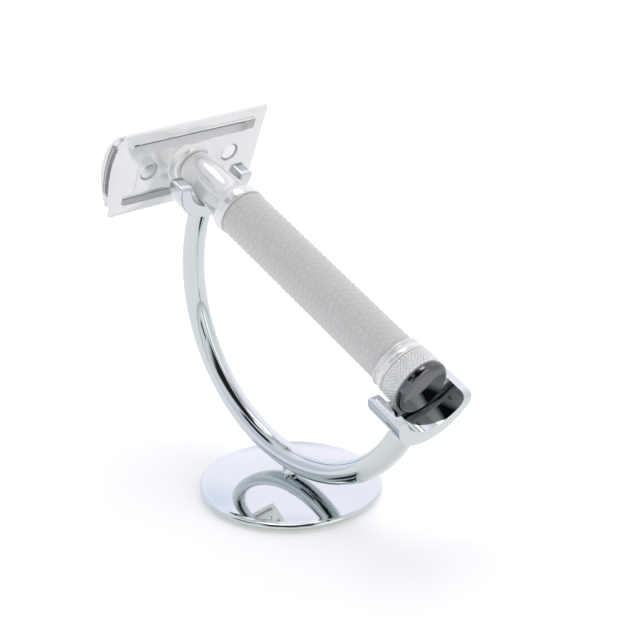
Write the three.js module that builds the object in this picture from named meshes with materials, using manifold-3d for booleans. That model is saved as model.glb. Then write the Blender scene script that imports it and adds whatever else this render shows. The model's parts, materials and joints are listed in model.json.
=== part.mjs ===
// Double-edge safety razor lying in its chrome stand.
// Millimetres, +Z up. The origin is the centre of the stand's underside, and
// +X runs from the razor's head towards the end of its handle.
//
// Everything above the base is built in a tilted frame: local x runs down the
// handle from the underside of the head, y runs along the blade, and z points
// out of the two open cradles. The head's own sections are drawn across the
// blade (the z direction) and upwards through the head (the -x direction).
import * as THREE from 'three';
import { mergeVertices } from 'three/addons/utils/BufferGeometryUtils.js';
import Module from 'manifold-3d';

// ---- driving dimensions -------------------------------------------------
const GAP = 0.3; // clearance between pieces that touch
const FACETS = 40; // sides of a round piece
const FINE_FACETS = 64; // sides of the base
const SMALL_FACETS = 20; // sides of pins, screws and bores

const TILT = THREE.MathUtils.degToRad(23.6); // handle's slope below level
const HEAD_X = -35.4; // underside of the head, on the handle's axis
const HEAD_Z = 75.2;

const BASE = { radius: 22.1, rimTop: 2.0, dome: 2.55, rimRound: 0.85, under: 0.25 };
const PAD = { radius: 19.8, thickness: 0.8 };
const POST = { radius: 1.85, bore: 1.4 };
const BASE_SCREW = { shank: 1.1, head: 2.4, headHeight: 1.25, length: 4.6 };

const ARM = { centreX: 47.2, centreZ: -10.2, radius: 38.8, neckR: 2.65, footR: 3.05 };
const FORK = { x: 6.9, length: 4.8, outer: 10.8, inner: 7.4, centreZ: 2.1, tipZ: 1.9 };
const TROUGH = {
  x: 81.5, length: 10.3, outer: 11.5, outerZ: 0.3, inner: 10.1, innerZ: 2.85, rimZ: -1.3, corner: 1.6,
};

const PLATE = {
  width: 23.4, length: 42.1, guardLow: -0.6, guardTop: 0.15, web: -0.9, crownTop: 2.8, bend: 24,
};
const CROWN_HALF = 9.3; // half width of the crowned seat under the blade
const DRAIN = { length: 36.6, from: 5.8, to: 8.8 };
const BLADE = { length: 43, width: 22, thickness: 0.2, tabHalf: 6.5, edgeLength: 37.2 };
const BLADE_SLOT = { half: 16.5, halfWidth: 1.4, studClearance: 0.9, pinClearance: 0.7 };
const CAP = { width: 19.8, length: 42.0, top: 6.0, edge: 0.5 };
const CAP_FOOT = { inner: 7.2, outer: 9.0, length: 1.9, overlap: 0.15 };
const PIN = { spacing: 24.4, radius: 2.2, end: -0.6, hole: 2.6 };
const STUD = { radius: 2.35, reach: 9.6, hole: 2.8, socket: 1.6 };
const BOSS = { root: 6.6, waist: 4.9, end: 2.3 };

const NECK = { start: 2.6, end: 21.9, tip: 4.3, waist: 4.85, collar: 6.35 };
const BUSH = { start: 3.4, end: 14.0, outer: 3.4, inner: 2.65 };
const CORE = { start: 15.6, end: 84.3, outer: 3.6, inner: 1.95 };
const GRIP = { start: 22.2, end: 76.8, radius: 6.05 };
const RING = { start: 77.1, end: 80.1, radius: 6.7 };
const KNOB = { start: 80.4, end: 84.6, radius: 6.8 };
const END_CAP = { start: 84.9, end: 87.2, radius: 6.7, ease: 0.35, round: 1.2 };
const TIE_ROD = { start: 14.9, end: 86.1, radius: 1.6 };

// ---- small geometry tools ---------------------------------------------------
const wasm = await Module();
wasm.setup();

// three.js geometry -> solid that can be joined and cut
function solid(geometry) {
  const bare = geometry.clone();
  bare.deleteAttribute('normal');
  bare.deleteAttribute('uv');
  const merged = mergeVertices(bare, 1e-4);
  const vertProperties = new Float32Array(merged.attributes.position.array);
  const triVerts = new Uint32Array(merged.index.array);
  return new wasm.Manifold(new wasm.Mesh({ numProp: 3, vertProperties, triVerts }));
}

// solid -> three.js geometry
function geometryOf(body) {
  const mesh = body.getMesh();
  const geometry = new THREE.BufferGeometry();
  geometry.setAttribute('position', new THREE.BufferAttribute(mesh.vertProperties, 3));
  geometry.setIndex(new THREE.BufferAttribute(mesh.triVerts, 1));
  geometry.computeVertexNormals();
  return geometry;
}

// Revolves [distance along x, radius] points about the x axis.
function turned(points, facets = FACETS) {
  const profile = points.map(([along, radius]) => new THREE.Vector2(radius, along));
  return new THREE.LatheGeometry(profile, facets).rotateZ(-Math.PI / 2);
}

// Solid round bar along x.
function bar(from, to, radius, facets = SMALL_FACETS) {
  return turned([[from, 0], [from, radius], [to, radius], [to, 0]], facets);
}

// Round tube along x.
function tube(from, to, outer, inner, facets = FACETS) {
  const wall = [[from, inner], [from, outer], [to, outer], [to, inner], [from, inner]];
  return turned(wall, facets);
}

// Upright round bar about the line x, y.
function upright(x, y, from, to, radius, facets = SMALL_FACETS) {
  const cylinder = new THREE.CylinderGeometry(radius, radius, to - from, facets);
  return cylinder.rotateX(Math.PI / 2).translate(x, y, (from + to) / 2);
}

// Section drawn in (y, z), extruded from x = from to x = to.
const SECTION_ALONG_X = new THREE.Matrix4().makeBasis(
  new THREE.Vector3(0, 1, 0), new THREE.Vector3(0, 0, 1), new THREE.Vector3(1, 0, 0));
function alongX(shape, from, to) {
  const geometry = new THREE.ExtrudeGeometry(shape, { depth: to - from, bevelEnabled: false });
  return geometry.applyMatrix4(SECTION_ALONG_X).translate(from, 0, 0);
}

// Section drawn in (across, height), extruded along the blade about y = 0.
const SECTION_ALONG_Y = new THREE.Matrix4().makeBasis(
  new THREE.Vector3(0, 0, 1), new THREE.Vector3(-1, 0, 0), new THREE.Vector3(0, -1, 0));
function alongBlade(points, length) {
  const shape = new THREE.Shape(points.map(([across, height]) => new THREE.Vector2(across, height)));
  const geometry = new THREE.ExtrudeGeometry(shape, { depth: length, bevelEnabled: false });
  return geometry.translate(0, 0, -length / 2).applyMatrix4(SECTION_ALONG_Y);
}

// Box given by its ranges along the blade (y), across it (z) and up through the head.
function headBox([y0, y1], [across0, across1], [low, high]) {
  const box = new THREE.BoxGeometry(high - low, y1 - y0, across1 - across0);
  return box.translate(-(low + high) / 2, (y0 + y1) / 2, (across0 + across1) / 2);
}

// Drop of an arc of this radius at a distance across from its crown.
function sagAt(across, radius) {
  return radius - Math.sqrt(radius * radius - across * across);
}

// Points of an arc across the head: highest at the middle, from -half to +half.
function crownPoints(top, radius, half, steps = 14) {
  const points = [];
  for (let i = 0; i <= steps; i += 1) {
    const across = -half + (2 * half * i) / steps;
    points.push([across, top - sagAt(across, radius)]);
  }
  return points;
}

// ---- materials ------------------------------------------------------------------
function material(color, roughness, metalness) {
  return new THREE.MeshStandardMaterial({ color, roughness, metalness });
}
const FINISH = {
  chrome: () => material(0xd9dce0, 0.08, 1),
  paleChrome: () => material(0xe6e7ea, 0.2, 1),
  blackChrome: () => material(0x2a2b2e, 0.12, 1),
  steel: () => material(0xc2c5c9, 0.3, 1),
  brass: () => material(0xc9a85a, 0.35, 1),
  grip: () => material(0xbfbec2, 0.75, 0),
  rubber: () => material(0x2b2c2e, 0.9, 0),
};

const razorAndStand = new THREE.Group();
const tilted = new THREE.Group();
tilted.position.set(HEAD_X, 0, HEAD_Z);
tilted.rotation.y = TILT;
razorAndStand.add(tilted);

function place(parent, name, geometry, finish) {
  const mesh = new THREE.Mesh(geometry, FINISH[finish]());
  mesh.name = name;
  parent.add(mesh);
}

// ---- stand: base, pad, screw and post -------------------------------------------
const domeTop = BASE.rimTop + BASE.dome;
const screwSeat = PAD.thickness + GAP;

function domedBase() {
  const profile = [new THREE.Vector2(0, screwSeat), new THREE.Vector2(PAD.radius + GAP, screwSeat)];
  profile.push(new THREE.Vector2(PAD.radius + GAP, BASE.under));
  const roundSteps = 5;
  for (let i = 0; i <= roundSteps; i += 1) {
    const turn = -Math.PI / 2 + (Math.PI * i) / roundSteps;
    const r = BASE.radius - BASE.rimRound + BASE.rimRound * Math.cos(turn);
    const mid = (BASE.under + BASE.rimTop) / 2;
    profile.push(new THREE.Vector2(r, mid + ((BASE.rimTop - BASE.under) / 2) * Math.sin(turn)));
  }
  const domeSteps = 8;
  const domeEdge = BASE.radius - BASE.rimRound;
  for (let i = 1; i <= domeSteps; i += 1) {
    const r = domeEdge * (1 - i / domeSteps);
    profile.push(new THREE.Vector2(r, BASE.rimTop + BASE.dome * (1 - (r / domeEdge) ** 2)));
  }
  const disc = new THREE.LatheGeometry(profile, FINE_FACETS).rotateX(Math.PI / 2);
  const hole = solid(upright(0, 0, 0, domeTop + 1, POST.bore));
  const headPocket = solid(screwHead(BASE_SCREW.head + GAP, BASE_SCREW.headHeight + GAP, POST.bore));
  return geometryOf(solid(disc).subtract(hole).subtract(headPocket));
}

// Countersunk cone: widest at the screw seat, tapering upwards.
function screwHead(wide, height, narrow) {
  const profile = [[0, 0], [wide, 0], [narrow, height], [0, height]];
  const points = profile.map(([r, up]) => new THREE.Vector2(r, up));
  const cone = new THREE.LatheGeometry(points, SMALL_FACETS).rotateX(Math.PI / 2);
  return cone.translate(0, 0, screwSeat);
}

// Height of the arm's axis straight above the base's centre.
const armCentre = new THREE.Vector3(ARM.centreX, 0, ARM.centreZ)
  .applyAxisAngle(new THREE.Vector3(0, 1, 0), TILT)
  .add(new THREE.Vector3(HEAD_X, 0, HEAD_Z));
const armAxisHeight = armCentre.z - Math.sqrt(ARM.radius ** 2 - armCentre.x ** 2);

place(razorAndStand, 'stand_base', domedBase(), 'chrome');
place(razorAndStand, 'base_pad', upright(0, 0, 0, PAD.thickness, PAD.radius, FINE_FACETS), 'rubber');

const screwShank = upright(0, 0, screwSeat + GAP, screwSeat + BASE_SCREW.headHeight + BASE_SCREW.length,
  BASE_SCREW.shank);
const screwCone = screwHead(BASE_SCREW.head, BASE_SCREW.headHeight, BASE_SCREW.shank);
place(razorAndStand, 'base_screw', geometryOf(solid(screwCone).add(solid(screwShank))), 'steel');

// The post is a spacer tube, hollowed out at its top to the shape of the arm.
function spacerPost() {
  const wall = solid(upright(0, 0, domeTop, armAxisHeight, POST.radius));
  const bore = solid(upright(0, 0, domeTop - 1, armAxisHeight + 1, POST.bore));
  const armShape = bentBar(ARM.neckR + GAP, ARM.footR + GAP);
  armShape.rotateY(TILT).translate(HEAD_X, 0, HEAD_Z);
  return geometryOf(wall.subtract(bore).subtract(solid(armShape)).translate(0, 0, GAP / 2));
}

// ---- stand: arm and cradles ---------------------------------------------------
// Tapered round bar bent into a half ring below the line that joins the cradles.
function bentBar(neckRadius, footRadius) {
  const past = 4; // degrees that each end runs on past the half ring
  const sweep = THREE.MathUtils.degToRad(180 + 2 * past);
  const bends = 44;
  const tapered = new THREE.CylinderGeometry(neckRadius, footRadius, 1, SMALL_FACETS, bends);
  const points = tapered.attributes.position;
  for (let i = 0; i < points.count; i += 1) {
    const along = 0.5 - points.getY(i); // 0 at the neck end, 1 at the foot end
    const turn = Math.PI - THREE.MathUtils.degToRad(past) + along * sweep;
    const reach = ARM.radius + points.getX(i);
    const x = ARM.centreX + reach * Math.cos(turn);
    const z = ARM.centreZ + reach * Math.sin(turn);
    points.setXYZ(i, x, points.getZ(i), z);
  }
  return tapered;
}

function arm() {
  const past = 6; // how far the cutters run on past the cradles' ends
  const fork = bar(FORK.x - past, FORK.x + FORK.length + past, FORK.outer + GAP, FINE_FACETS);
  const trough = bar(TROUGH.x - past, TROUGH.x + TROUGH.length + past, TROUGH.outer + GAP, FINE_FACETS);
  const screwHole = upright(0, 0, 0, armAxisHeight + 1.5, POST.bore);
  screwHole.translate(-HEAD_X, 0, -HEAD_Z).rotateY(-TILT);
  const body = solid(bentBar(ARM.neckR, ARM.footR))
    .subtract(solid(fork.translate(0, 0, FORK.centreZ)))
    .subtract(solid(trough.translate(0, 0, TROUGH.outerZ)))
    .subtract(solid(screwHole));
  return geometryOf(body);
}

// U section: outer arc about (0, outerZ), inner arc about (0, innerZ), both cut level at rimZ.
function cradleSection(outer, outerZ, inner, innerZ, rimZ, steps = 20) {
  const points = [];
  const outerStart = Math.asin((rimZ - outerZ) / outer);
  for (let i = 0; i <= steps; i += 1) {
    const turn = -Math.PI - outerStart + ((Math.PI + 2 * outerStart) * i) / steps;
    points.push(new THREE.Vector2(outer * Math.cos(turn), outerZ + outer * Math.sin(turn)));
  }
  const innerStart = Math.asin((rimZ - innerZ) / inner);
  for (let i = 0; i <= steps; i += 1) {
    const turn = innerStart - ((Math.PI + 2 * innerStart) * i) / steps;
    points.push(new THREE.Vector2(inner * Math.cos(turn), innerZ + inner * Math.sin(turn)));
  }
  return new THREE.Shape(points);
}

function neckCradle() {
  const section = cradleSection(FORK.outer, FORK.centreZ, FORK.inner, FORK.centreZ, FORK.tipZ);
  return alongX(section, FORK.x, FORK.x + FORK.length);
}

// Trough cut from its U section, with rounded corners at both ends of its rims.
function footCradle() {
  const { x, length, outer, outerZ, inner, innerZ, rimZ, corner } = TROUGH;
  const end = x + length;
  const side = new THREE.Shape();
  side.moveTo(x, outerZ - outer - 1);
  side.lineTo(end, outerZ - outer - 1);
  side.absarc(end - corner, rimZ - corner, corner, 0, Math.PI / 2);
  side.absarc(x + corner, rimZ - corner, corner, Math.PI / 2, Math.PI);
  const width = 2 * outer + 2;
  const outline = new THREE.ExtrudeGeometry(side, { depth: width, bevelEnabled: false, curveSegments: 5 });
  outline.translate(0, 0, -width / 2).rotateX(Math.PI / 2);
  const trough = solid(alongX(cradleSection(outer, outerZ, inner, innerZ, rimZ), x, end));
  return geometryOf(trough.intersect(solid(outline)));
}

place(razorAndStand, 'post', spacerPost(), 'chrome');
place(tilted, 'arm', arm(), 'chrome');
place(tilted, 'neck_cradle', neckCradle(), 'chrome');
place(tilted, 'foot_cradle', footCradle(), 'chrome');

// ---- razor head -------------------------------------------------------------------
// Holes for the stud and the two pins, through everything between two heights.
function headHoles(low, high, studRadius, pinRadius) {
  let holes = solid(bar(-high, -low, studRadius));
  for (const side of [-1, 1]) {
    const pinHole = bar(-high, -low, pinRadius).translate(0, (side * PIN.spacing) / 2, 0);
    holes = holes.add(solid(pinHole));
  }
  return holes;
}

function basePlate() {
  const half = PLATE.width / 2;
  const slab = headBox(
    [-PLATE.length / 2, PLATE.length / 2], [-half, half], [PLATE.guardLow, PLATE.guardTop]);
  const crown = crownPoints(PLATE.crownTop, PLATE.bend, CROWN_HALF);
  const seat = alongBlade([[-CROWN_HALF, PLATE.web], ...crown, [CROWN_HALF, PLATE.web]], PLATE.length);
  const boss = turned([[0, 0], [0, BOSS.root], [1.0, BOSS.root], [1.2, BOSS.root - 0.6],
    [1.6, BOSS.waist + 0.2], [BOSS.end, BOSS.waist], [BOSS.end, 0]]);
  let body = solid(slab).add(solid(seat)).add(solid(boss));
  for (const side of [-1, 1]) {
    const across = [side * DRAIN.from, side * DRAIN.to].sort((a, b) => a - b);
    const slot = headBox([-DRAIN.length / 2, DRAIN.length / 2], across, [-2, PLATE.crownTop]);
    body = body.subtract(solid(slot));
  }
  return geometryOf(body.subtract(headHoles(-BOSS.end - 1, PLATE.crownTop + 1, STUD.hole, PIN.hole)));
}

function blade() {
  const half = BLADE.width / 2;
  const low = PLATE.crownTop + GAP;
  const under = crownPoints(low, PLATE.bend + GAP, half);
  const over = crownPoints(low + BLADE.thickness, PLATE.bend + GAP + BLADE.thickness, half);
  let sheet = solid(alongBlade([...under, ...over.reverse()], BLADE.length));
  const cornerStart = BLADE.edgeLength / 2;
  for (const end of [-1, 1]) {
    for (const side of [-1, 1]) {
      const along = [end * cornerStart, end * BLADE.length].sort((a, b) => a - b);
      const across = [side * BLADE.tabHalf, side * BLADE.width].sort((a, b) => a - b);
      sheet = sheet.subtract(solid(headBox(along, across, [0, PLATE.crownTop + 2])));
    }
  }
  const { half: slotHalf, halfWidth, studClearance, pinClearance } = BLADE_SLOT;
  const above = PLATE.crownTop + 2;
  const slot = headBox([-slotHalf, slotHalf], [-halfWidth, halfWidth], [0, above]);
  const holes = headHoles(0, above, STUD.radius + studClearance, PIN.radius + pinClearance);
  return geometryOf(sheet.subtract(solid(slot)).subtract(holes));
}

const capUnderTop = PLATE.crownTop + 2 * GAP + BLADE.thickness;
const capUnderBend = PLATE.bend + 2 * GAP + BLADE.thickness;

function cap() {
  const half = CAP.width / 2;
  const under = crownPoints(capUnderTop, capUnderBend, half);
  const edgeHeight = under[0][1] + CAP.edge;
  const rise = CAP.top - edgeHeight;
  const bend = (half * half + rise * rise) / (2 * rise);
  const over = crownPoints(CAP.top, bend, half, 20);
  let body = solid(alongBlade([...under, ...over.reverse()], CAP.length));
  const footLow = (across) => PLATE.crownTop + GAP - sagAt(across, PLATE.bend);
  const footTop = (across) => capUnderTop + CAP_FOOT.overlap - sagAt(across, capUnderBend);
  for (const end of [-1, 1]) {
    for (const side of [-1, 1]) {
      const { inner, outer, length } = CAP_FOOT;
      const corners = [[inner, footLow(inner)], [outer, footLow(outer)],
        [outer, footTop(outer)], [inner, footTop(inner)]];
      if (side < 0) corners.reverse();
      const foot = alongBlade(corners.map(([across, height]) => [side * across, height]), length);
      body = body.add(solid(foot.translate(0, (end * (CAP.length - length)) / 2, 0)));
    }
  }
  const sockets = headHoles(0, capUnderTop + STUD.socket, STUD.radius + GAP, PIN.radius + GAP);
  return geometryOf(body.subtract(sockets));
}

const socketTop = capUnderTop + STUD.socket - GAP;
place(tilted, 'base_plate', basePlate(), 'paleChrome');
place(tilted, 'blade', blade(), 'steel');
place(tilted, 'cap', cap(), 'paleChrome');
place(tilted, 'cap_stud', bar(-socketTop, STUD.reach, STUD.radius, FACETS), 'steel');
for (const [name, side] of [['cap_pin_left', -1], ['cap_pin_right', 1]]) {
  const pin = bar(-socketTop, -PIN.end, PIN.radius).translate(0, (side * PIN.spacing) / 2, 0);
  place(tilted, name, pin, 'steel');
}

// ---- razor handle ----------------------------------------------------------------
// Ferrule: bored for the bush at its head end and for the core at its grip end.
function neck() {
  const bush = BUSH.outer + GAP;
  const core = CORE.outer + GAP;
  const rod = TIE_ROD.radius + GAP;
  const wallStart = BUSH.end + GAP;
  const wallEnd = CORE.start - GAP;
  return turned([
    [NECK.start, bush], [NECK.start, NECK.tip - 0.3], [NECK.start + 0.4, NECK.tip], [9, NECK.waist],
    [15, NECK.waist + 0.25], [18, 5.7], [19.4, NECK.collar - 0.1], [20.2, NECK.collar],
    [NECK.end, NECK.collar], [NECK.end, core], [wallEnd, core], [wallEnd, rod], [wallStart, rod],
    [wallStart, bush], [NECK.start, bush],
  ]);
}

// Ring with its outer edges eased.
function easedRing(piece, inner, ease) {
  return turned([
    [piece.start, inner], [piece.start, piece.radius - ease], [piece.start + ease, piece.radius],
    [piece.end - ease, piece.radius], [piece.end, piece.radius - ease], [piece.end, inner],
    [piece.start, inner],
  ]);
}

// Closed end with a rounded edge and a socket for the tie rod.
function endCap() {
  const socket = TIE_ROD.radius + GAP;
  const { start, end, radius, ease, round } = END_CAP;
  const points = [[start, socket], [start, radius - ease], [start + ease, radius]];
  for (let i = 0; i <= 4; i += 1) {
    const turn = (Math.PI / 2) * (i / 4);
    points.push([end - round + round * Math.sin(turn), radius - round + round * Math.cos(turn)]);
  }
  points.push([end, 0], [TIE_ROD.end + GAP, 0], [TIE_ROD.end + GAP, socket], [start, socket]);
  return turned(points);
}

const coreBore = CORE.outer + GAP;
place(tilted, 'neck', neck(), 'paleChrome');
place(tilted, 'neck_bush', tube(BUSH.start, BUSH.end, BUSH.outer, BUSH.inner), 'brass');
place(tilted, 'handle_core', tube(CORE.start, CORE.end, CORE.outer, CORE.inner, 24), 'brass');
place(tilted, 'grip_sleeve', tube(GRIP.start, GRIP.end, GRIP.radius, coreBore), 'grip');
place(tilted, 'end_ring', easedRing(RING, coreBore, 0.5), 'paleChrome');
place(tilted, 'knurled_knob', easedRing(KNOB, coreBore, 0.3), 'paleChrome');
place(tilted, 'end_cap', endCap(), 'blackChrome');
place(tilted, 'tie_rod', bar(TIE_ROD.start, TIE_ROD.end, TIE_ROD.radius), 'steel');

export default razorAndStand;
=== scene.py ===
import json
import math

import bmesh
import bpy
import numpy as np
from mathutils import Matrix, Vector


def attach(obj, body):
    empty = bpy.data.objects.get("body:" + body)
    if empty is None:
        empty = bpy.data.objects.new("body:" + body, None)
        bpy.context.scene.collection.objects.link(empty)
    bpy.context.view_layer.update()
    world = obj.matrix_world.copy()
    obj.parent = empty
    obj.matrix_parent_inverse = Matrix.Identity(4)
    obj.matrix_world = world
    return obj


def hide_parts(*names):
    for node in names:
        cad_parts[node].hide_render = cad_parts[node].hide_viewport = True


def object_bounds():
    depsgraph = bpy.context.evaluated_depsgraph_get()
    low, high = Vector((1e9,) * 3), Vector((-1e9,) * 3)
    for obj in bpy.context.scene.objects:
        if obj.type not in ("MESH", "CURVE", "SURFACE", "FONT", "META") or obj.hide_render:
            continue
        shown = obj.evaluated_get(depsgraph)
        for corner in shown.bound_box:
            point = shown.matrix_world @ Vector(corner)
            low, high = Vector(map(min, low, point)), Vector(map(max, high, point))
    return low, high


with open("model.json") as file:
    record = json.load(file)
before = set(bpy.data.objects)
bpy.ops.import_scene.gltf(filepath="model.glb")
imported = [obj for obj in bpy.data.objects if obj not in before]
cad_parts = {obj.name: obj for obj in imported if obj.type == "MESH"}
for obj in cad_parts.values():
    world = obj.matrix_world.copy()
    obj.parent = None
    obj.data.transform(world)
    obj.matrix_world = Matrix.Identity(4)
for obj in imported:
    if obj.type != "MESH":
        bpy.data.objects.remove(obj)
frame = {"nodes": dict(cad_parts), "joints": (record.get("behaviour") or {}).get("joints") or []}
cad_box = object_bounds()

MM = 0.001
ROUND = 128  # sides of a large round piece
SMALL_ROUND = 64  # sides of pins and holes

# ---- frame ------------------------------------------------------------------------
joints = {joint["name"]: joint for joint in frame["joints"]}
DOWN_HANDLE = -Vector(joints["head_turn"]["axis"])
OUT_OF_CRADLES = Vector(joints["razor_lift"]["axis"])
ALONG_BLADE = OUT_OF_CRADLES.cross(DOWN_HANDLE)
HEAD = Vector(joints["head_turn"]["pos_m"])
axes = Matrix((DOWN_HANDLE, ALONG_BLADE, OUT_OF_CRADLES)).transposed().to_4x4()
TILTED = Matrix.Translation(HEAD) @ axes @ Matrix.Scale(MM, 4)
UPRIGHT = Matrix.Scale(MM, 4)


def extent(node, place=TILTED):
    """Lowest and highest corner of a CAD node, in millimetres of the tilted or the upright frame."""
    back = place.inverted()
    corners = np.array([back @ v.co for v in frame["nodes"][node].data.vertices])
    return Vector(corners.min(0)), Vector(corners.max(0))


def span(node):
    """Where a CAD node starts and ends down the handle."""
    low, high = extent(node)
    return low.x, high.x


# ---- dimensions that the frame's boxes don't give --------------------------------------
GAP = 0.3  # clearance between pieces that touch

BASE = {"rim_top": 2.0, "rim_round": 1.15, "under": 0.25, "pocket": 20.1, "seat": 1.1}
BASE_BORE = {"radius": 1.4, "sink": 2.7, "sink_depth": 1.55}
PAD = {"top_ease": 0.3, "foot_ease": 0.25}
PAD_GROOVES = {"rings": (17.6, 14.6, 11.6), "half": 0.4, "bed": 0.25, "depth": 0.18}
POST = {"in_base": 0.1, "in_arm": 1.2, "flare": 0.15, "flare_height": 0.25}
ARM = {"centre_x": 47.2, "centre_z": -10.2, "radius": 38.8, "neck": 2.65, "foot": 3.05}
ARM_ROOT = {"flare": 0.3, "length": 0.9, "sunk": 0.2}
FORK = {"outer": 10.8, "inner": 7.4, "centre_z": 2.1, "ease": 0.5}
TROUGH = {"outer": 11.5, "centre_z": 0.3, "inner": 10.1, "inner_z": 2.85, "ease": 0.6, "corner": 2.4}
TROUGH_SIDE = {"below": 5, "half": 15}  # reach of the side outline past the trough's walls

CROWN = {"top": 2.8, "bend": 24.0, "half": 9.3}
WEB = {"low": -0.9, "half": 15.3, "flare": 17.4, "shoulder": 5.4}
GUARD = {"low": -0.62, "top": 0.15, "lip": 0.1, "edge": 0.12, "step": 0.5}
DRAIN = {"half": 18.3, "inner": 5.8, "outer": 8.8, "corner": 0.7}
BOSS = {"root": 6.6, "waist": 4.9, "end": 2.3}
PLATE_EASE = 0.14
PLATE_CUT = (-4, 3)  # ends of a cutter through the guard plate, along x
BLADE = {"thickness": 0.2, "tab": 6.5, "edge_half": 18.6, "ground": 1.1, "ground_share": 0.9}
BLADE_SLOT = {"half": 16.5, "half_width": 1.4, "corner": 0.9, "centre": 3.25, "pin_clearance": 0.7}
BLADE_CUT = (-6, 2)
CAP = {"top": 6.0, "edge": 0.5, "ease": 0.3, "socket": 1.6}
CAP_FOOT = {"inner": 7.2, "outer": 9.0, "length": 1.9, "inset": 0.05, "overlap": 0.4, "ease": 0.1}
RELIEF = {"half": 6.9, "cap": 0.9, "cap_reach": 2.3, "plate": 0.55, "plate_reach": 1.5}
RELIEF_PAST = {"cap": 1, "plate": 2}  # how far the cutters stand out of the face they cut
STUD_HOLE = 2.8
STUD_SOCKET = 2.65
PIN_HOLE = 2.55
PIN = {"proud": 0.1, "chamfer": 0.3, "ease": 0.12}
THREAD = {"start": -3.6, "pitch": 0.8, "depth": 0.42, "steps": 12, "step": 0.05, "tip": 0.5, "taper": 0.9}

BORE = 3.9  # through the sleeve and the rings of the handle
ROD_BORE = 1.9  # round the tie rod in the neck and in the end cap
NECK = {"collar": 6.35, "bore": 3.7, "wall_start": 14.3, "wall_end": 15.3}
GRIP = {"pitch": 1.65, "columns": 20, "tick": 0.15, "tick_flat": 0.16, "tick_slope": 0.2, "margin": 0.7}
KNURL = {"pitch": 0.95, "depth": 0.32, "steps": 8, "edge": 0.35, "point": 1.35}
END_CAP = {"edge": 1.2, "dome": 0.2, "ease": 0.35}


# ---- mesh tools ------------------------------------------------------------------------
def closed(name, verts, faces):
    """Mesh object from points and faces, with meeting points merged and faces turned outwards."""
    mesh = bpy.data.meshes.new(name)
    mesh.from_pydata([tuple(v) for v in verts], [], [tuple(f) for f in faces])
    work = bmesh.new()
    work.from_mesh(mesh)
    bmesh.ops.remove_doubles(work, verts=work.verts, dist=1e-5)
    bmesh.ops.recalc_face_normals(work, faces=work.faces)
    work.to_mesh(mesh)
    work.free()
    obj = bpy.data.objects.new(name, mesh)
    bpy.context.scene.collection.objects.link(obj)
    return obj


def turns(count):
    """Angles that share out a full turn."""
    return [2 * math.pi * i / count for i in range(count)]


def lathe(name, profile, sides=ROUND):
    """Turned about the x axis from (along, radius) points; a profile off the axis closes on itself."""
    verts, rings, faces = [], [], []
    for along, radius in profile:
        if radius < 1e-6:
            rings.append([len(verts)] * sides)
            verts.append((along, 0, 0))
        else:
            rings.append(list(range(len(verts), len(verts) + sides)))
            verts += [(along, radius * math.cos(a), radius * math.sin(a)) for a in turns(sides)]
    pairs = list(zip(rings, rings[1:]))
    if profile[0][1] > 1e-6:
        pairs.append((rings[-1], rings[0]))
    for low, high in pairs:
        for i in range(sides):
            j = (i + 1) % sides
            corners = list(dict.fromkeys([low[i], low[j], high[j], high[i]]))
            if len(corners) > 2:
                faces.append(corners)
    return closed(name, verts, faces)


def stood_up(obj):
    """Turns a piece made about the x axis to stand on z."""
    obj.data.transform(Matrix.Rotation(-math.pi / 2, 4, "Y"))
    return obj


def loft(name, loops):
    """Solid through loops of equally many points, with flat ends."""
    count = len(loops[0])
    verts = [point for loop in loops for point in loop]
    faces = [range(count), range((len(loops) - 1) * count, len(loops) * count)]
    for n in range(len(loops) - 1):
        for i in range(count):
            j = (i + 1) % count
            a, b = n * count, (n + 1) * count
            faces.append((a + i, a + j, b + j, b + i))
    return closed(name, verts, faces)


def prism_x(name, outline, start, end):
    """Outline of (y, z) points carried along x."""
    return loft(name, [[(x, y, z) for y, z in outline] for x in (start, end)])


def prism_y(name, outline, half, centre=0):
    """Outline of (across, height) points carried along the blade."""
    ends = (centre - half, centre + half)
    return loft(name, [[(-height, y, across) for across, height in outline] for y in ends])


def eased(points, reach, steps=3, loop=False):
    """Rounds the corners of a run of points, each by up to this reach."""
    share = 0.45  # the most of a side that one corner takes
    out = [] if loop else [points[0]]
    count = len(points)
    for i in range(count) if loop else range(1, count - 1):
        here = Vector(points[i])
        before, after = Vector(points[i - 1]) - here, Vector(points[(i + 1) % count]) - here
        start = here + before.normalized() * min(reach, before.length * share)
        end = here + after.normalized() * min(reach, after.length * share)
        for n in range(steps + 1):
            t = n / steps
            out.append(tuple(start * (1 - t) ** 2 + here * 2 * t * (1 - t) + end * t * t))
    return out if loop else out + [points[-1]]


def arc(radius, start, end, steps, centre=(0, 0)):
    """Points of an arc in a plane, angles in degrees."""
    out = []
    for i in range(steps + 1):
        a = math.radians(start + (end - start) * i / steps)
        out.append((centre[0] + radius * math.cos(a), centre[1] + radius * math.sin(a)))
    return out


def with_modifier(obj, kind, **settings):
    """Applies one modifier to the mesh."""
    modifier = obj.modifiers.new(kind, kind)
    for key, value in settings.items():
        setattr(modifier, key, value)
    ready = obj.evaluated_get(bpy.context.evaluated_depsgraph_get())
    mesh = bpy.data.meshes.new_from_object(ready)
    obj.modifiers.clear()
    obj.data = mesh
    return obj


def joined(obj, other, operation="UNION"):
    """Adds another piece to a piece, or keeps what they share, and deletes the other."""
    with_modifier(obj, "BOOLEAN", operation=operation, solver="EXACT", object=other)
    bpy.data.objects.remove(other)
    return obj


def cut(obj, *cutters):
    for cutter in cutters:
        joined(obj, cutter, "DIFFERENCE")
    return obj


def bevelled(obj, width, segments=3, angle=35):
    return with_modifier(obj, "BEVEL", width=width, segments=segments, limit_method="ANGLE",
                         angle_limit=math.radians(angle), use_clamp_overlap=True)


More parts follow.
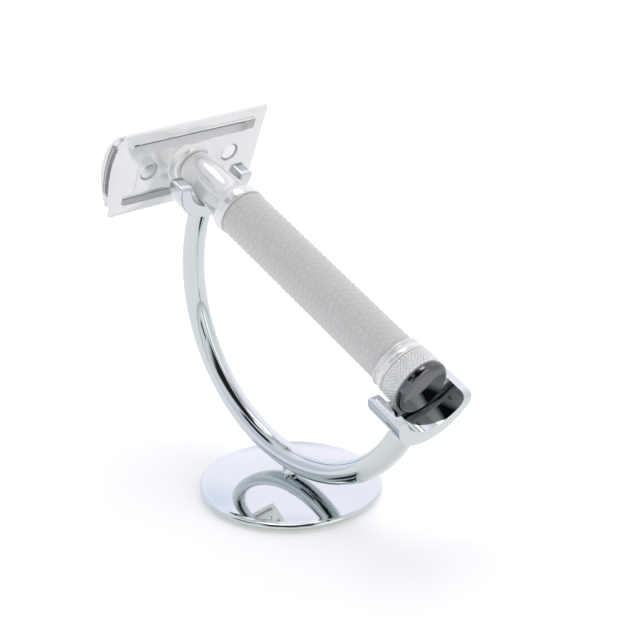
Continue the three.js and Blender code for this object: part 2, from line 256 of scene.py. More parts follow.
def cleaned(obj, smallest=2e-4):
    """Takes out the edges and faces too small to see that cuts and bevels leave behind."""
    work = bmesh.new()
    work.from_mesh(obj.data)
    bmesh.ops.dissolve_degenerate(work, dist=smallest, edges=work.edges)
    work.to_mesh(obj.data)
    work.free()


def finished(obj, body, slot, nodes, place=TILTED, crease=32, flat_faces=False):
    """Sets a piece into the frame, smooths it, paints it and lets it ride."""
    cleaned(obj)
    obj.data.transform(place)
    obj.data.materials.clear()
    obj.data.materials.append(PAINT[slot])
    obj.data.polygons.foreach_set("use_smooth", [True] * len(obj.data.polygons))
    obj.data.set_sharp_from_angle(angle=math.radians(crease))
    if flat_faces:
        obj.modifiers.new("Weighted", "WEIGHTED_NORMAL").keep_sharp = True
    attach(obj, body)
    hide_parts(*nodes)
    return obj


# ---- materials -------------------------------------------------------------------------
def add(tree, kind, *inputs, out=0, **settings):
    """Adds a node, fills its sockets in order with values or links, and returns an output."""
    made = tree.nodes.new(kind)
    for key, value in settings.items():
        setattr(made, key, value)
    for socket, value in zip(made.inputs, inputs):
        if isinstance(value, bpy.types.NodeSocket):
            tree.links.new(value, socket)
        elif value is not None:
            socket.default_value = value
    return made.outputs[out]


def start_material(name):
    """New material with its node tree, its shader and the object's own coordinates."""
    material = bpy.data.materials.new(name)
    material.use_nodes = True
    tree = material.node_tree
    return material, tree, tree.nodes["Principled BSDF"], add(tree, "ShaderNodeTexCoord", out=3)


def noise(tree, coords, scale, detail=2.0, stretch=None):
    """Noise with this many features to a metre, drawn out along the short way of stretch."""
    if stretch:
        coords = add(tree, "ShaderNodeMapping", coords, None, None, stretch)
    return add(tree, "ShaderNodeTexNoise", coords, None, scale, detail)


def remap(tree, value, low, high, start=0.3, end=0.7):
    """Carries the range from start to end over to the one from low to high."""
    return add(tree, "ShaderNodeMapRange", value, start, end, low, high)


def blend_colours(tree, factor, first, second):
    mix = tree.nodes.new("ShaderNodeMix")
    mix.data_type = "RGBA"
    tree.links.new(factor, mix.inputs["Factor"])
    mix.inputs["A"].default_value = (*first, 1)
    mix.inputs["B"].default_value = (*second, 1)
    return mix.outputs["Result"]


def bump(tree, height, distance, strength=1.0):
    """Normals of a relief this many metres deep."""
    made = tree.nodes.new("ShaderNodeBump")
    made.inputs["Strength"].default_value = strength
    made.inputs["Distance"].default_value = distance
    tree.links.new(height, made.inputs["Height"])
    return made.outputs["Normal"]


def polished(name, colours, roughness, metallic=1.0, ripple=2e-6, painted_glow=0.0):
    """Plated metal: the tint and the polish drift over the surface, with faint ripples from buffing.

    A painted glow gives off a little light, which lightens the metal all over and fills in its shade so
    that it looks washed out.
    """
    material, tree, shader, coords = start_material(name)
    drift = noise(tree, coords, 45)
    tree.links.new(blend_colours(tree, remap(tree, drift, 0, 1), *colours), shader.inputs["Base Color"])
    haze = noise(tree, coords, 260, 5)
    tree.links.new(remap(tree, haze, *roughness), shader.inputs["Roughness"])
    shader.inputs["Metallic"].default_value = metallic
    shader.inputs["Emission Color"].default_value = (1, 1, 1, 1)
    shader.inputs["Emission Strength"].default_value = painted_glow
    tree.links.new(bump(tree, noise(tree, coords, 130, 1), ripple), shader.inputs["Normal"])
    return material


def ground_metal(name, colours, roughness, stretch, scale=900, depth=2e-6):
    """Metal with the fine lines that grinding or turning leaves, along the short way of stretch."""
    material, tree, shader, coords = start_material(name)
    lines = noise(tree, coords, scale, 4, stretch)
    tree.links.new(blend_colours(tree, remap(tree, lines, 0, 1), *colours), shader.inputs["Base Color"])
    tree.links.new(remap(tree, noise(tree, coords, 180, 3), *roughness), shader.inputs["Roughness"])
    shader.inputs["Metallic"].default_value = 1.0
    tree.links.new(bump(tree, lines, depth), shader.inputs["Normal"])
    return material


def grip_coating(name):
    """Matt coating: mottled grey with a fine pebble, paler on the raised ticks as a painted highlight and
    darker between them as painted shade.
    """
    material, tree, shader, coords = start_material(name)
    local = add(tree, "ShaderNodeVectorMath", coords, tuple(HEAD), operation="SUBTRACT")
    beside = add(tree, "ShaderNodeVectorMath", local, tuple(DOWN_HANDLE), operation="PROJECT")
    outwards = add(tree, "ShaderNodeVectorMath", local, beside, operation="SUBTRACT")
    reach = add(tree, "ShaderNodeVectorMath", outwards, operation="LENGTH", out=1)
    top = extent("grip_sleeve")[1].y * MM
    # painted highlight: the colour grows paler with height, lighter on the tick tops and darker in the
    # valleys between them
    raised = add(tree, "ShaderNodeMapRange", reach, top - GRIP["tick"] * MM, top, 0.0, 1.0)
    mottle_and_highlight = add(tree, "ShaderNodeMath", raised, noise(tree, coords, 220, 4), operation="MULTIPLY_ADD")
    tree.links.new(noise(tree, coords, 1400, 3), mottle_and_highlight.node.inputs[2])
    tone = remap(tree, mottle_and_highlight, 0, 1, 0.35, 1.15)
    colour = blend_colours(tree, tone, (0.64, 0.63, 0.615), (0.74, 0.73, 0.715))
    tree.links.new(colour, shader.inputs["Base Color"])
    tree.links.new(remap(tree, noise(tree, coords, 500, 3), 0.55, 0.75), shader.inputs["Roughness"])
    tree.links.new(bump(tree, noise(tree, coords, 4000, 2), 2e-5, 0.5), shader.inputs["Normal"])
    return material


def moulded_rubber(name):
    """Black non-slip rubber with a pebbled skin."""
    material, tree, shader, coords = start_material(name)
    pebble = add(tree, "ShaderNodeTexVoronoi", coords, None, 1100)
    colour = blend_colours(tree, pebble, (0.035, 0.035, 0.038), (0.07, 0.07, 0.074))
    tree.links.new(colour, shader.inputs["Base Color"])
    tree.links.new(remap(tree, noise(tree, coords, 300, 3), 0.7, 0.9), shader.inputs["Roughness"])
    tree.links.new(bump(tree, pebble, 1e-4, 0.6), shader.inputs["Normal"])
    return material


PAINT = {
    "chrome": polished("chrome", ((0.62, 0.665, 0.655), (0.64, 0.675, 0.69)), (0.03, 0.06)),
    # razor chrome: a painted glow lightens the whole razor and fills in the shade in its gaps and hollows
    "razor_chrome": polished("razor_chrome", ((0.69, 0.69, 0.685), (0.73, 0.73, 0.73)), (0.08, 0.15),
                             metallic=0.4, painted_glow=0.11),
    # end cap: its dark colour is painted shade and painted reflection, standing in for the dark
    # reflections inside the foot cradle
    "black_chrome": polished("black_chrome", ((0.09, 0.09, 0.095), (0.17, 0.175, 0.19)), (0.05, 0.1)),
    "blade_steel": ground_metal("blade_steel", ((0.66, 0.68, 0.7), (0.8, 0.81, 0.83)), (0.2, 0.32),
                                stretch=(60, 1, 60)),
    "steel": ground_metal("steel", ((0.78, 0.785, 0.79), (0.88, 0.885, 0.89)), (0.2, 0.32),
                          stretch=(1, 1, 12)),
    "brass": ground_metal("brass", ((0.68, 0.5, 0.22), (0.82, 0.66, 0.36)), (0.25, 0.4),
                          stretch=(1, 12, 12)),
    "grip": grip_coating("grip"),
    "rubber_pad": moulded_rubber("rubber_pad"),
}


# ---- stand -----------------------------------------------------------------------------
base_top = extent("stand_base", UPRIGHT)[1].z
base_radius = extent("stand_base", UPRIGHT)[1].x


def stand_base():
    """Disc with a shallow dome, a round rim and a recess for the pad underneath."""
    rim, under, top = BASE["rim_round"], BASE["under"], BASE["rim_top"]
    shoulder = base_radius - rim
    dome = base_top - top
    fall = math.degrees(math.atan(2 * dome / shoulder))
    middle, half_height = (under + top) / 2, (top - under) / 2
    edge = [(middle + half_height * v / rim, shoulder + u)
            for u, v in arc(rim, -90, 90 - fall, 20)]
    seat, pocket, bore = BASE["seat"], BASE["pocket"], BASE_BORE["radius"]
    profile = [(seat + BASE_BORE["sink_depth"], bore), (seat, BASE_BORE["sink"]), (seat, pocket),
               (under, pocket), *edge]
    outermost = edge[-1][1]
    steps, sides = 56, 192
    for i in range(1, steps + 1):
        radius = outermost + (bore - outermost) * i / steps
        profile.append((top + dome * (1 - (radius / shoulder) ** 2), radius))
    base = stood_up(lathe("base_disc", profile, sides))
    return finished(base, "stand", "chrome", ["stand_base"], UPRIGHT)


def pad():
    """Flat pad with eased edges and rings of fine grooves."""
    high = extent("base_pad", UPRIGHT)[1]
    top, outer = high.z, high.x
    ease, foot = PAD["top_ease"], PAD["foot_ease"]
    profile = [(top, 0), (top, outer - ease), (top - ease, outer), (foot, outer), (0, outer - foot)]
    half, bed, depth = PAD_GROOVES["half"], PAD_GROOVES["bed"], PAD_GROOVES["depth"]
    for ring in PAD_GROOVES["rings"]:
        profile += [(0, ring + half), (depth, ring + bed), (depth, ring - bed), (0, ring - half)]
    profile.append((0, 0))
    return finished(stood_up(lathe("foot_pad", profile)), "stand", "rubber_pad", ["base_pad"], UPRIGHT)


def post():
    """Spacer between the base and the arm, flared at its foot, its top sunk into the arm."""
    low, high = extent("post", UPRIGHT)
    radius = (high.x - low.x) / 2
    foot = base_top - POST["in_base"]
    sunk = high.z + POST["in_arm"]
    profile = [(foot, 0), (foot, radius + POST["flare"]), (foot + POST["flare_height"], radius),
               (sunk, radius), (sunk, 0)]
    spacer = stood_up(lathe("spacer_post", profile, SMALL_ROUND))
    return finished(spacer, "stand", "chrome", ["post"], UPRIGHT)


def arm():
    """Tapered round bar bent into a half ring, its ends flared a little onto the cradles."""
    lines, rings = 64, 220
    flare, length, sunk = ARM_ROOT["flare"], ARM_ROOT["length"], ARM_ROOT["sunk"]

    def end_angle(around, radius, outer, centre_z):
        """How far past level this line of the bar runs before it meets a cradle's outside."""
        side, reach = radius * math.sin(around), ARM["radius"] + radius * math.cos(around)
        height = centre_z - math.sqrt((outer - sunk) ** 2 - side ** 2)
        return math.asin((height - ARM["centre_z"]) / reach)

    loops = []
    for n in range(rings + 1):
        along = 0.5 - 0.5 * math.cos(math.pi * n / rings)
        loop = []
        for around in turns(lines):
            start = math.pi - end_angle(around, ARM["neck"] + flare, FORK["outer"], FORK["centre_z"])
            end = 2 * math.pi + end_angle(around, ARM["foot"] + flare, TROUGH["outer"], TROUGH["centre_z"])
            turn = start + (end - start) * along
            from_end = min(turn - start, end - turn) * ARM["radius"]
            radius = ARM["neck"] + (ARM["foot"] - ARM["neck"]) * along
            radius += flare * max(0, 1 - from_end / length) ** 2
            reach = ARM["radius"] + radius * math.cos(around)
            loop.append((ARM["centre_x"] + reach * math.cos(turn), radius * math.sin(around),
                         ARM["centre_z"] + reach * math.sin(turn)))
        loops.append(loop)
    return finished(loft("curved_arm", loops), "stand", "chrome", ["arm"])


def u_section(outer, centre_z, inner, inner_z, rim_z, steps=48):
    """Outline of (y, z) points between two arcs, both ending level at rim_z."""
    outer_start = math.degrees(math.asin((rim_z - centre_z) / outer))
    inner_start = math.degrees(math.asin((rim_z - inner_z) / inner))
    outside = arc(outer, -180 - outer_start, outer_start, steps, (0, centre_z))
    inside = arc(inner, inner_start, -180 - inner_start, steps, (0, inner_z))
    return outside + inside


def neck_cradle():
    """Open fork with boxy prongs."""
    start, end = span("neck_cradle")
    tip = extent("neck_cradle")[1].z
    outline = u_section(FORK["outer"], FORK["centre_z"], FORK["inner"], FORK["centre_z"], tip)
    fork = bevelled(prism_x("neck_fork", outline, start, end), FORK["ease"])
    return finished(fork, "stand", "chrome", ["neck_cradle"], flat_faces=True)


def foot_cradle():
    """Open trough with rounded rim corners."""
    low, high = extent("foot_cradle")
    start, end, rim, below = low.x, high.x, high.z, low.z - TROUGH_SIDE["below"]
    outline = u_section(TROUGH["outer"], TROUGH["centre_z"], TROUGH["inner"], TROUGH["inner_z"], rim)
    corners = [(below, -start), (rim, -start), (rim, -end), (below, -end)]
    side = prism_y("side", eased(corners, TROUGH["corner"], 8, loop=True), TROUGH_SIDE["half"])
    trough = joined(prism_x("foot_trough", outline, start, end), side, "INTERSECT")
    bevelled(trough, TROUGH["ease"], 4)
    return finished(trough, "stand", "chrome", ["foot_cradle"], flat_faces=True)


# ---- razor head ------------------------------------------------------------------------
def sag(across, radius):
    """How far an arc has fallen at a distance from its middle."""
    return radius - math.sqrt(radius * radius - across * across)


def crown(top, bend, half, steps=40):
    """Points of an arc across the head, from one side to the other."""
    places = [-half + 2 * half * i / steps for i in range(steps + 1)]
    return [(across, top - sag(across, bend)) for across in places]


pin_low, pin_high = extent("cap_pin_right")
PIN_Y = (pin_low.y + pin_high.y) / 2
PIN_RADIUS = (pin_high.y - pin_low.y) / 2


def hole(name, radius, y=0, low=-3, high=9):
    """Cutter for a round hole through the head, between two heights."""
    cutter = lathe(name, [(-high, 0), (-high, radius), (-low, radius), (-low, 0)], SMALL_ROUND)
    cutter.data.transform(Matrix.Translation((0, y, 0)))
    return cutter


def end_relief(middle, reach, low, bend, tall):
    """Cutter for the space at one end of the head, between the cap's feet, that follows the crown."""
    under = crown(low, bend, RELIEF["half"])
    over = crown(low + tall, bend, RELIEF["half"])
    return prism_y("relief", [*under, *over[::-1]], reach, middle)


def base_plate():
    """Guard plate: crowned seat, lipped guards, drain slots and a flared boss underneath."""
    high = extent("base_plate")[1]
    half, guard = high.y, high.z
    inner, bend = CROWN["half"], CROWN["bend"]
    low, top, step = GUARD["low"], GUARD["top"], GUARD["step"]
    lip, edge = low - GUARD["lip"], low + GUARD["edge"]
    outline = [(-guard, edge), (-guard + step, lip), (-inner - step, low), (inner + step, low),
               (guard - step, lip), (guard, edge), (guard, top), (inner, top),
               *crown(CROWN["top"], bend, inner)[::-1], (-inner, top), (-guard, top)]
    plate = prism_y("guard_plate", outline, half)

    web_half, flare, shoulder = WEB["half"], WEB["flare"], WEB["shoulder"]
    web = [(-web_half, -shoulder), (-flare, -inner), (flare, -inner), (web_half, -shoulder),
           (web_half, shoulder), (flare, inner), (-flare, inner), (-web_half, shoulder)]
    joined(plate, prism_x("web", web, 0, -WEB["low"]))

    root, waist, end = BOSS["root"], BOSS["waist"], BOSS["end"]
    boss = [(-1, 0), (-1, root), (0.95, root), (1.25, root - 0.5), (1.6, waist + 0.3),
            (end - 0.2, waist), (end, waist - 0.15), (end, 0)]
    joined(plate, lathe("boss", eased(boss, 0.15), ROUND))

    reach = (DRAIN["outer"] - DRAIN["inner"]) / 2
    length = DRAIN["half"]
    for side in (-1, 1):
        middle = side * (DRAIN["inner"] + DRAIN["outer"]) / 2
        corners = [(-length, middle - reach), (length, middle - reach),
                   (length, middle + reach), (-length, middle + reach)]
        cut(plate, prism_x("drain", eased(corners, DRAIN["corner"], 4, loop=True), *PLATE_CUT))
        cut(plate, hole("pin_hole", PIN_HOLE, side * PIN_Y))
        cut(plate, end_relief(side * half, RELIEF["plate_reach"], CROWN["top"] - RELIEF["plate"], bend,
                              RELIEF_PAST["plate"]))
    cut(plate, hole("stud_hole", STUD_HOLE))
    bevelled(plate, PLATE_EASE, 2)
    return finished(plate, "guard_plate", "razor_chrome", ["base_plate"], flat_faces=True)


def blade():
    """Thin sheet bowed over the plate, with ground edges, square tabs and the usual slot."""
    high = extent("blade")[1]
    half, length = high.z, high.y
    under_top = CROWN["top"] + GAP
    bend = CROWN["bend"] + GAP
    flat = half - BLADE["ground"]
    under = crown(under_top, bend, half)
    over = crown(under_top + BLADE["thickness"], bend + BLADE["thickness"], half)
    ground = []
    for (across, height), (_, thin) in zip(over, under):
        share = max(0.0, (abs(across) - flat) / BLADE["ground"])
        ground.append((across, height + (thin - height) * BLADE["ground_share"] * share))
    sheet = prism_y("razor_blade", [*under, *ground[::-1]], length)

    past = 2  # how far the corners' cutters reach past the sheet
    for end in (-1, 1):
        for side in (-1, 1):
            near, far = end * BLADE["edge_half"], end * (length + past)
            inside, outside = side * BLADE["tab"], side * (half + past)
            corner = [(near, inside), (far, inside), (far, outside), (near, outside)]
            cut(sheet, prism_x("corner", corner, *BLADE_CUT))
    long, wide = BLADE_SLOT["half"], BLADE_SLOT["half_width"]
    slot = eased([(-long, -wide), (long, -wide), (long, wide), (-long, wide)], BLADE_SLOT["corner"], 4,
                 loop=True)
    cut(sheet, prism_x("slot", slot, *BLADE_CUT))
    cut(sheet, hole("centre", BLADE_SLOT["centre"]))
    for side in (-1, 1):
        cut(sheet, hole("end_hole", PIN_RADIUS + BLADE_SLOT["pin_clearance"], side * PIN_Y))
    return finished(sheet, "blade", "blade_steel", ["blade"], flat_faces=True)


cap_under = CROWN["top"] + 2 * GAP + BLADE["thickness"]
cap_bend = CROWN["bend"] + 2 * GAP + BLADE["thickness"]
SOCKET_TOP = cap_under + CAP["socket"]


def cap():
    """Curved top plate with four corner feet that hold the blade square."""
    high = extent("cap")[1]
    half, length = high.z, high.y
    under = crown(cap_under, cap_bend, half)
    edge = under[0][1] + CAP["edge"]
    rise = CAP["top"] - edge
    bend = (half * half + rise * rise) / (2 * rise)
    top = crown(CAP["top"], bend, half, 56)
    shell = prism_y("top_cap", [*under, *top[::-1]], length)
    bevelled(shell, CAP["ease"], 3)

    inner, outer, foot_half = CAP_FOOT["inner"], CAP_FOOT["outer"], CAP_FOOT["length"] / 2
    for end in (-1, 1):
        for side in (-1, 1):
            corners = [(side * z, CROWN["top"] + GAP - sag(z, CROWN["bend"])) for z in (inner, outer)]
            corners += [(side * z, cap_under + CAP_FOOT["overlap"] - sag(z, cap_bend))
                        for z in (outer, inner)]
            foot = prism_y("foot", corners, foot_half, end * (length - foot_half - CAP_FOOT["inset"]))
            joined(shell, bevelled(foot, CAP_FOOT["ease"], 2))
    cut(shell, hole("stud_socket", STUD_SOCKET, 0, 0, SOCKET_TOP))
    past = RELIEF_PAST["cap"]
    for side in (-1, 1):
        cut(shell, end_relief(side * length, RELIEF["cap_reach"], cap_under - past, cap_bend,
                              past + RELIEF["cap"]))
        cut(shell, hole("pin_socket", PIN_RADIUS + GAP, side * PIN_Y, 0, SOCKET_TOP))
    return finished(shell, "cap", "razor_chrome", ["cap"], flat_faces=True)


def stud():
    """Centre stud: plain where it sits in the cap, threaded below, with a tapered tip."""
    start, end = span("cap_stud")
    radius = extent("cap_stud")[1].y
    pitch, depth, plain, tip = THREAD["pitch"], THREAD["depth"], THREAD["start"], end - THREAD["tip"]
    rings = [start, plain - THREAD["step"]]
    steps = int((end - plain) / (pitch / THREAD["steps"]))
    rings += [plain + (end - plain) * i / steps for i in range(steps + 1)]
    loops = []
    for x in rings:
        loop = []
        for around in turns(SMALL_ROUND):
            height = radius
            if x >= plain:
                phase = (x / pitch + around / (2 * math.pi)) % 1
                height = radius - depth * abs(2 * phase - 1)
            if x > tip:
                height = min(height, radius - (x - tip) * THREAD["taper"])
            loop.append((x, height * math.cos(around), height * math.sin(around)))
        loops.append(loop)
    return finished(loft("threaded_stud", loops), "cap", "steel", ["cap_stud"], crease=40)


def pins():
    """Two plain pins with chamfered ends."""
    for node, side, name in (("cap_pin_left", -1, "pin_left"), ("cap_pin_right", 1, "pin_right")):
        start, end = span(node)
        radius, chamfer = PIN_RADIUS + PIN["proud"], PIN["chamfer"]
        profile = [(start, 0), (start, radius), (end - chamfer, radius), (end, radius - chamfer), (end, 0)]
        pin = lathe(name, eased(profile, PIN["ease"]), SMALL_ROUND)
        pin.data.transform(Matrix.Translation((0, side * PIN_Y, 0)))
        finished(pin, "cap", "steel", [node])


# ---- razor handle ----------------------------------------------------------------------
def neck():
    """Ferrule: slim waist below the head, flaring to the collar above the grip."""
    start, end = span("neck")
    collar, bore = NECK["collar"], NECK["bore"]
    wall_start, wall_end = NECK["wall_start"], NECK["wall_end"]
    outside = [(start, bore), (start, 3.95), (start + 0.35, 4.3), (6, 4.62), (9, 4.85), (12, 4.9),
               (15, 5.08), (16.6, 5.3), (17.8, 5.62), (18.8, 6.05), (19.5, 6.3), (20.3, collar),
               (end - 0.25, collar), (end, 6.15)]
    inside = [(end, BORE), (wall_end, BORE), (wall_end, ROD_BORE), (wall_start, ROD_BORE),
              (wall_start, bore)]
    return finished(lathe("ferrule", eased(outside, 0.5) + inside), "handle", "razor_chrome", ["neck"])


def textured_tube(name, places, angles, radius_at, bore):
    """Tube whose outside follows radius_at(along, around), with a plain bore."""
    sides, count = len(angles), len(places)
    loops = [[(x, radius_at(x, a) * math.cos(a), radius_at(x, a) * math.sin(a)) for a in angles]
             for x in places]
    loops += [[(x, bore * math.cos(a), bore * math.sin(a)) for a in angles]
              for x in (places[-1], places[0])]
    verts = [point for loop in loops for point in loop]
    faces = []
    for n in range(count + 2):
        after = (n + 1) % (count + 2)
        for i in range(sides):
            j = (i + 1) % sides
            faces.append((n * sides + i, n * sides + j, after * sides + j, after * sides + i))
    return closed(name, verts, faces)


def ramp(value, flat, slope):
    """1 up to flat, falling to 0 over slope."""
    return min(1.0, max(0.0, (flat + slope - value) / slope))


def grip():
    """Sleeve with rows of short raised ticks, each row set half a step from the next."""
    start, end = span("grip_sleeve")
    top = extent("grip_sleeve")[1].y
    tick, flat, slope, margin = GRIP["tick"], GRIP["tick_flat"], GRIP["tick_slope"], GRIP["margin"]
    pitch, columns = GRIP["pitch"], GRIP["columns"]
    wide = 2 * math.pi / columns
    column_flat, column_slope = wide * 0.33, wide * 0.12
    inset, end_drop, band_drop = 0.1, 0.2, 0.1  # of the plain, eased ends of the sleeve

    places = {start, start + 0.15, end - 0.15, end}
    for k in range(int((end - start) / pitch) * 2 + 4):
        middle = start + margin + k * pitch / 2
        for offset in (-flat - slope, -flat, flat, flat + slope):
            if start + margin < middle + offset < end - margin:
                places.add(round(middle + offset, 3))
    across = (-0.48, -0.4, -0.15, 0.15, 0.4, 0.48)  # lines of the mesh over a column, in its widths
    angles = [(c + offset) * wide for c in range(columns) for offset in across]

    def radius_at(x, around):
        if x < start + margin or x > end - margin:
            return top - band_drop if start + inset < x < end - inset else top - end_drop
        column = round(around / wide)
        off = abs(around - column * wide)
        step = (x - start - margin) / pitch + (0.5 if column % 2 else 0)
        from_tick = abs(step - round(step)) * pitch
        raised = tick * ramp(from_tick, flat, slope) * ramp(off, column_flat, column_slope)
        return top - tick + raised

    sleeve = textured_tube("grip", sorted(places), angles, radius_at, BORE)
    return finished(sleeve, "handle", "grip", ["grip_sleeve"], crease=60)


def end_ring():
    """Polished ring: a thin lip against the grip, a cove and a wide band."""
    start, end = span("end_ring")
    radius = extent("end_ring")[1].y
    # distance from the grip and depth below the band
    shape = [(0, 0.3), (0.12, 0.1), (0.4, 0.1), (0.55, 0.35), (0.7, 0.62), (0.95, 0.66), (1.3, 0.45),
             (1.6, 0.18), (1.9, 0.04), (2.2, 0)]
    profile = [(start, BORE), *((start + along, radius - depth) for along, depth in shape),
               (end - 0.3, radius), (end, radius - 0.25), (end, BORE)]
    return finished(lathe("polished_ring", eased(profile, 0.12)), "handle", "razor_chrome", ["end_ring"])


def knob():
    """Ring with a fine diamond knurl between two plain edges."""
    start, end = span("knurled_knob")
    radius = extent("knurled_knob")[1].y
    pitch, edge = KNURL["pitch"], KNURL["edge"]
    diamonds = round(2 * math.pi * radius / pitch)
    steps = int((end - start - 2 * edge) / (pitch / KNURL["steps"]))
    band = [start + edge + (end - start - 2 * edge) * i / steps for i in range(steps + 1)]
    places = [start, start + 0.12, *band, end - 0.12, end]
    angles = turns(diamonds * KNURL["steps"])

    def radius_at(x, around):
        if x < start + edge - 1e-6 or x > end - edge + 1e-6:
            return radius - (0.32 if x in (start, end) else 0.2)
        u = around * diamonds / (2 * math.pi)
        v = (x - start) / pitch
        grooves = [abs(2 * ((u + sign * v) % 1) - 1) for sign in (-1, 1)]
        return radius - KNURL["depth"] * (1 - min(1.0, KNURL["point"] * min(grooves)))

    ring = textured_tube("knurled_ring", places, angles, radius_at, BORE)
    return finished(ring, "handle", "razor_chrome", ["knurled_knob"], crease=60)


def end_cap():
    """Polished cap painted dark, a painted shade and painted reflection for the darkness inside the foot
    cradle, with a rounded edge and a faintly domed end.
    """
    start, end = span("end_cap")
    radius = extent("end_cap")[1].y
    edge, dome, ease = END_CAP["edge"], END_CAP["dome"], END_CAP["ease"]
    socket = span("tie_rod")[1] + GAP
    shoulder, face = end - edge - dome, radius - edge
    profile = [(start, ROD_BORE), (start, radius - ease), (start + ease, radius)]
    profile += [(shoulder + v, face + u) for u, v in arc(edge, 0, 90, 16)]
    profile += [(end - dome * share ** 2, face * share) for share in (0.85, 0.7, 0.55, 0.4, 0.25, 0.1, 0)]
    profile += [(socket, 0), (socket, ROD_BORE)]
    return finished(lathe("handle_end", profile), "handle", "black_chrome", ["end_cap"])


def hidden_pieces():
    """Bush, core, rod and screw keep their CAD shapes, in their own metals."""
    finishes = {"neck_bush": "brass", "handle_core": "brass", "tie_rod": "steel", "base_screw": "steel"}
    for node, slot in finishes.items():
        mesh = frame["nodes"][node].data
        mesh.materials.clear()
        mesh.materials.append(PAINT[slot])


for build in (stand_base, pad, post, arm, neck_cradle, foot_cradle, base_plate, blade, cap, stud, pins,
              neck, grip, end_ring, knob, end_cap, hidden_pieces):
    build()


# ---- studio ----------------------------------------------------------------------------
def floor():
    """Wide pale floor just under the stand, which gives off a little light to look white."""
    material, tree, shader, coords = start_material("floor")
    grain = remap(tree, noise(tree, coords, 6, 3), 0, 1)
    colour = blend_colours(tree, grain, (0.80, 0.80, 0.805), (0.82, 0.82, 0.82))
    tree.links.new(colour, shader.inputs["Base Color"])
    shader.inputs["Roughness"].default_value = 0.9
    shader.inputs["Specular IOR Level"].default_value = 0.1
    shader.inputs["Emission Color"].default_value = (1, 0.985, 0.97, 1)
    shader.inputs["Emission Strength"].default_value = 0.31
    half, drop = 6.0, -0.0002
    corners = [(-half, -half, drop), (half, -half, drop), (half, half, drop), (-half, half, drop)]
    mesh = bpy.data.meshes.new("floor")
    mesh.from_pydata(corners, [], [(0, 1, 2, 3)])
    mesh.materials.append(material)
    plane = bpy.data.objects.new("floor", mesh)
    bpy.context.scene.collection.objects.link(plane)


def softbox(name, azimuth, elevation, distance, size, power):
    """Square soft light that faces the middle of the object."""
    light = bpy.data.lights.new(name, "AREA")
    light.shape, light.size, light.energy = "SQUARE", size, power
    lamp = bpy.data.objects.new(name, light)
    bpy.context.scene.collection.objects.link(lamp)
    back = outwards_from(azimuth, elevation)
    lamp.location = Vector((0, 0, 0.04)) + back * distance
    lamp.rotation_euler = back.to_track_quat("Z", "Y").to_euler()


def outwards_from(azimuth, elevation):
    """Direction from the object, with azimuth 0 towards -Y and 90 towards +X, in degrees."""
    a, e = math.radians(azimuth), math.radians(elevation)
    return Vector((math.sin(a) * math.cos(e), -math.cos(a) * math.cos(e), math.sin(e)))


# height of the direction (0 level, 1 overhead) and colour
SKY = [
    (0.0, (0.42, 0.45, 0.47)),
    (0.02, (0.70, 0.74, 0.76)),
    (0.10, (0.88, 0.92, 0.93)),
    (0.45, (0.90, 0.93, 0.96)),
    (0.75, (0.86, 0.89, 0.94)),
    (1.0, (0.92, 0.94, 0.96)),
]
# azimuth, elevation, half width, half height (as sines) and colour; a later panel lies over an earlier one
PANELS = [
    (-132, 30, 0.80, 0.46, (1.25, 1.20, 1.34)),
    (-94, 20, 0.30, 0.40, (0.98, 1.03, 1.22)),
    (-38, 14, 0.42, 0.30, (0.74, 0.79, 0.93)),
    (95, 30, 0.30, 0.40, (1.4, 1.42, 1.38)),
    (48, 57, 0.44, 0.48, (0.02, 0.02, 0.025)),
    (-20, 42, 0.20, 0.17, (0.02, 0.02, 0.025)),
    (50, 14, 0.12, 0.10, (0.05, 0.05, 0.06)),
]


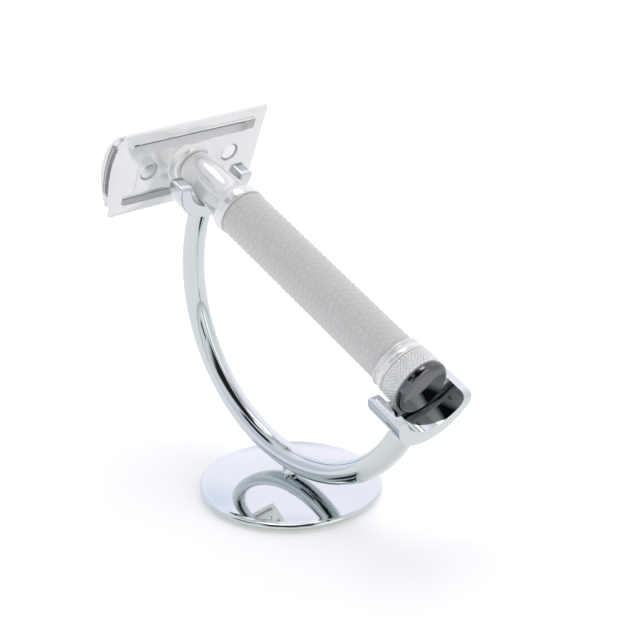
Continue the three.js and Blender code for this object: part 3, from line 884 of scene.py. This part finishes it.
def studio_walls():
    """Pale light tent, grey just above the floor, with soft-edged bright and dark panels."""
    world = bpy.data.worlds.new("studio")
    bpy.context.scene.world = world
    world.use_nodes = True
    tree = world.node_tree
    direction = add(tree, "ShaderNodeTexCoord")
    up = add(tree, "ShaderNodeSeparateXYZ", direction, out=2)
    ramp_node = tree.nodes.new("ShaderNodeValToRGB")
    elements = ramp_node.color_ramp.elements
    while len(elements) < len(SKY):
        elements.new(0.5)
    for element, (position, colour) in zip(elements, SKY):
        element.position, element.color = position, (*colour, 1)
    tree.links.new(up, ramp_node.inputs["Fac"])
    colour = ramp_node.outputs["Color"]
    for azimuth, elevation, wide, tall, tone in PANELS:
        centre = outwards_from(azimuth, elevation)
        right = Vector((0, 0, 1)).cross(centre).normalized()
        above = centre.cross(right)
        facing = add(tree, "ShaderNodeVectorMath", direction, tuple(centre),
                     operation="DOT_PRODUCT", out=1)
        inside = add(tree, "ShaderNodeMath", facing, 0.0, operation="GREATER_THAN")
        for axis, half in ((right, wide), (above, tall)):
            offset = add(tree, "ShaderNodeVectorMath", direction, tuple(axis),
                         operation="DOT_PRODUCT", out=1)
            offset = add(tree, "ShaderNodeMath", offset, operation="ABSOLUTE")
            edge = remap(tree, offset, 1.0, 0.0, half * 0.8, half * 1.2)
            inside = add(tree, "ShaderNodeMath", inside, edge, operation="MULTIPLY")
        mix = tree.nodes.new("ShaderNodeMix")
        mix.data_type = "RGBA"
        tree.links.new(inside, mix.inputs["Factor"])
        tree.links.new(colour, mix.inputs["A"])
        mix.inputs["B"].default_value = (*tone, 1)
        colour = mix.outputs["Result"]
    tree.links.new(colour, tree.nodes["Background"].inputs["Color"])


def camera():
    """Long lens from the front right, looking a little down, with a slight roll."""
    beside = Vector((2.7, 5.2, 1.0)) * MM  # from the middle of the box to the middle of the view
    aim = (Vector(cad_box[0]) + Vector(cad_box[1])) / 2 + beside
    azimuth, elevation, distance, roll = 47.7, 21.8, 0.3517, -0.6
    data = bpy.data.cameras.new("camera")
    data.lens, data.sensor_width = 85.3, 36.0
    data.clip_start = 0.01
    eye = bpy.data.objects.new("camera", data)
    bpy.context.scene.collection.objects.link(eye)
    back = outwards_from(azimuth, elevation)
    eye.location = aim + back * distance
    turn = back.to_track_quat("Z", "Y") @ Matrix.Rotation(math.radians(roll), 3, "Z").to_quaternion()
    eye.rotation_euler = turn.to_euler()
    bpy.context.scene.camera = eye


floor()
studio_walls()
softbox("overhead", azimuth=-125, elevation=80, distance=1.5, size=0.7, power=3.5)
camera()
bpy.context.scene.view_settings.view_transform = "Standard"
